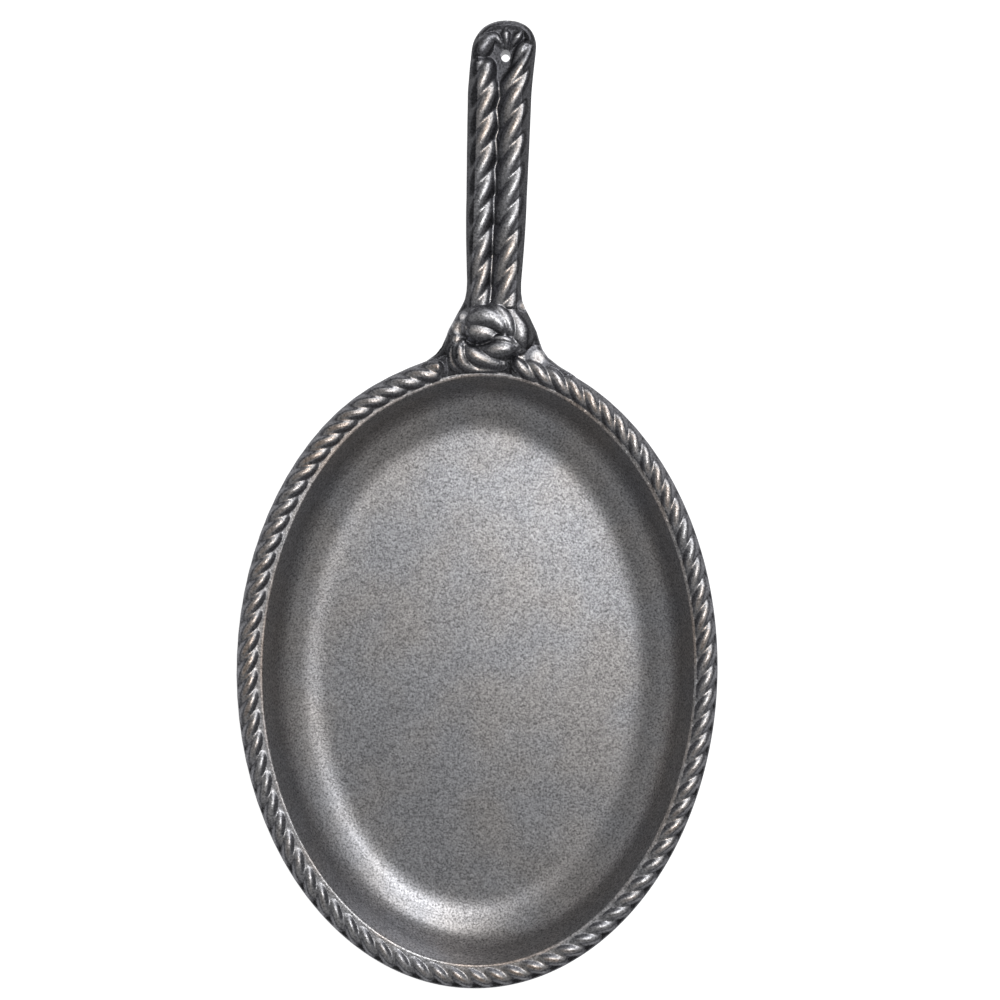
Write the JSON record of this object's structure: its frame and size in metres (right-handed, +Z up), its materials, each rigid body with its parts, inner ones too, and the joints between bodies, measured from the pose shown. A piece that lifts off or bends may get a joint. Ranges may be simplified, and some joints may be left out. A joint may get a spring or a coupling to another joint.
{
  "type": "oval griddle pan",
  "caption": "Oval cast griddle pan with a flat base, a rope in relief round the rim, and a long handle of paired ropes that ends in a knot at the dish and has a hanging hole.",
  "frame": {"origin": "on the underside of the flat base, below the centre of the oval rim", "axes": "+Z up, +Y from the dish towards the end of the handle, +X to the right with the handle pointing away"},
  "size_m": [0.1914, 0.3836, 0.0425],
  "materials": {
    "cast_iron": "bare, as cast, satin with a fine sand grain"
  },
  "bodies": {
    "root": {"pan_bowl": "cast_iron", "rim_rope": "cast_iron", "handle_core": "cast_iron", "handle_rope_left": "cast_iron", "handle_rope_right": "cast_iron", "handle_bight": "cast_iron", "knot_upper_turn": "cast_iron", "knot_inner_turn": "cast_iron", "knot_right_turn": "cast_iron", "knot_lower_turn": "cast_iron"}
  },
  "joints": []
}
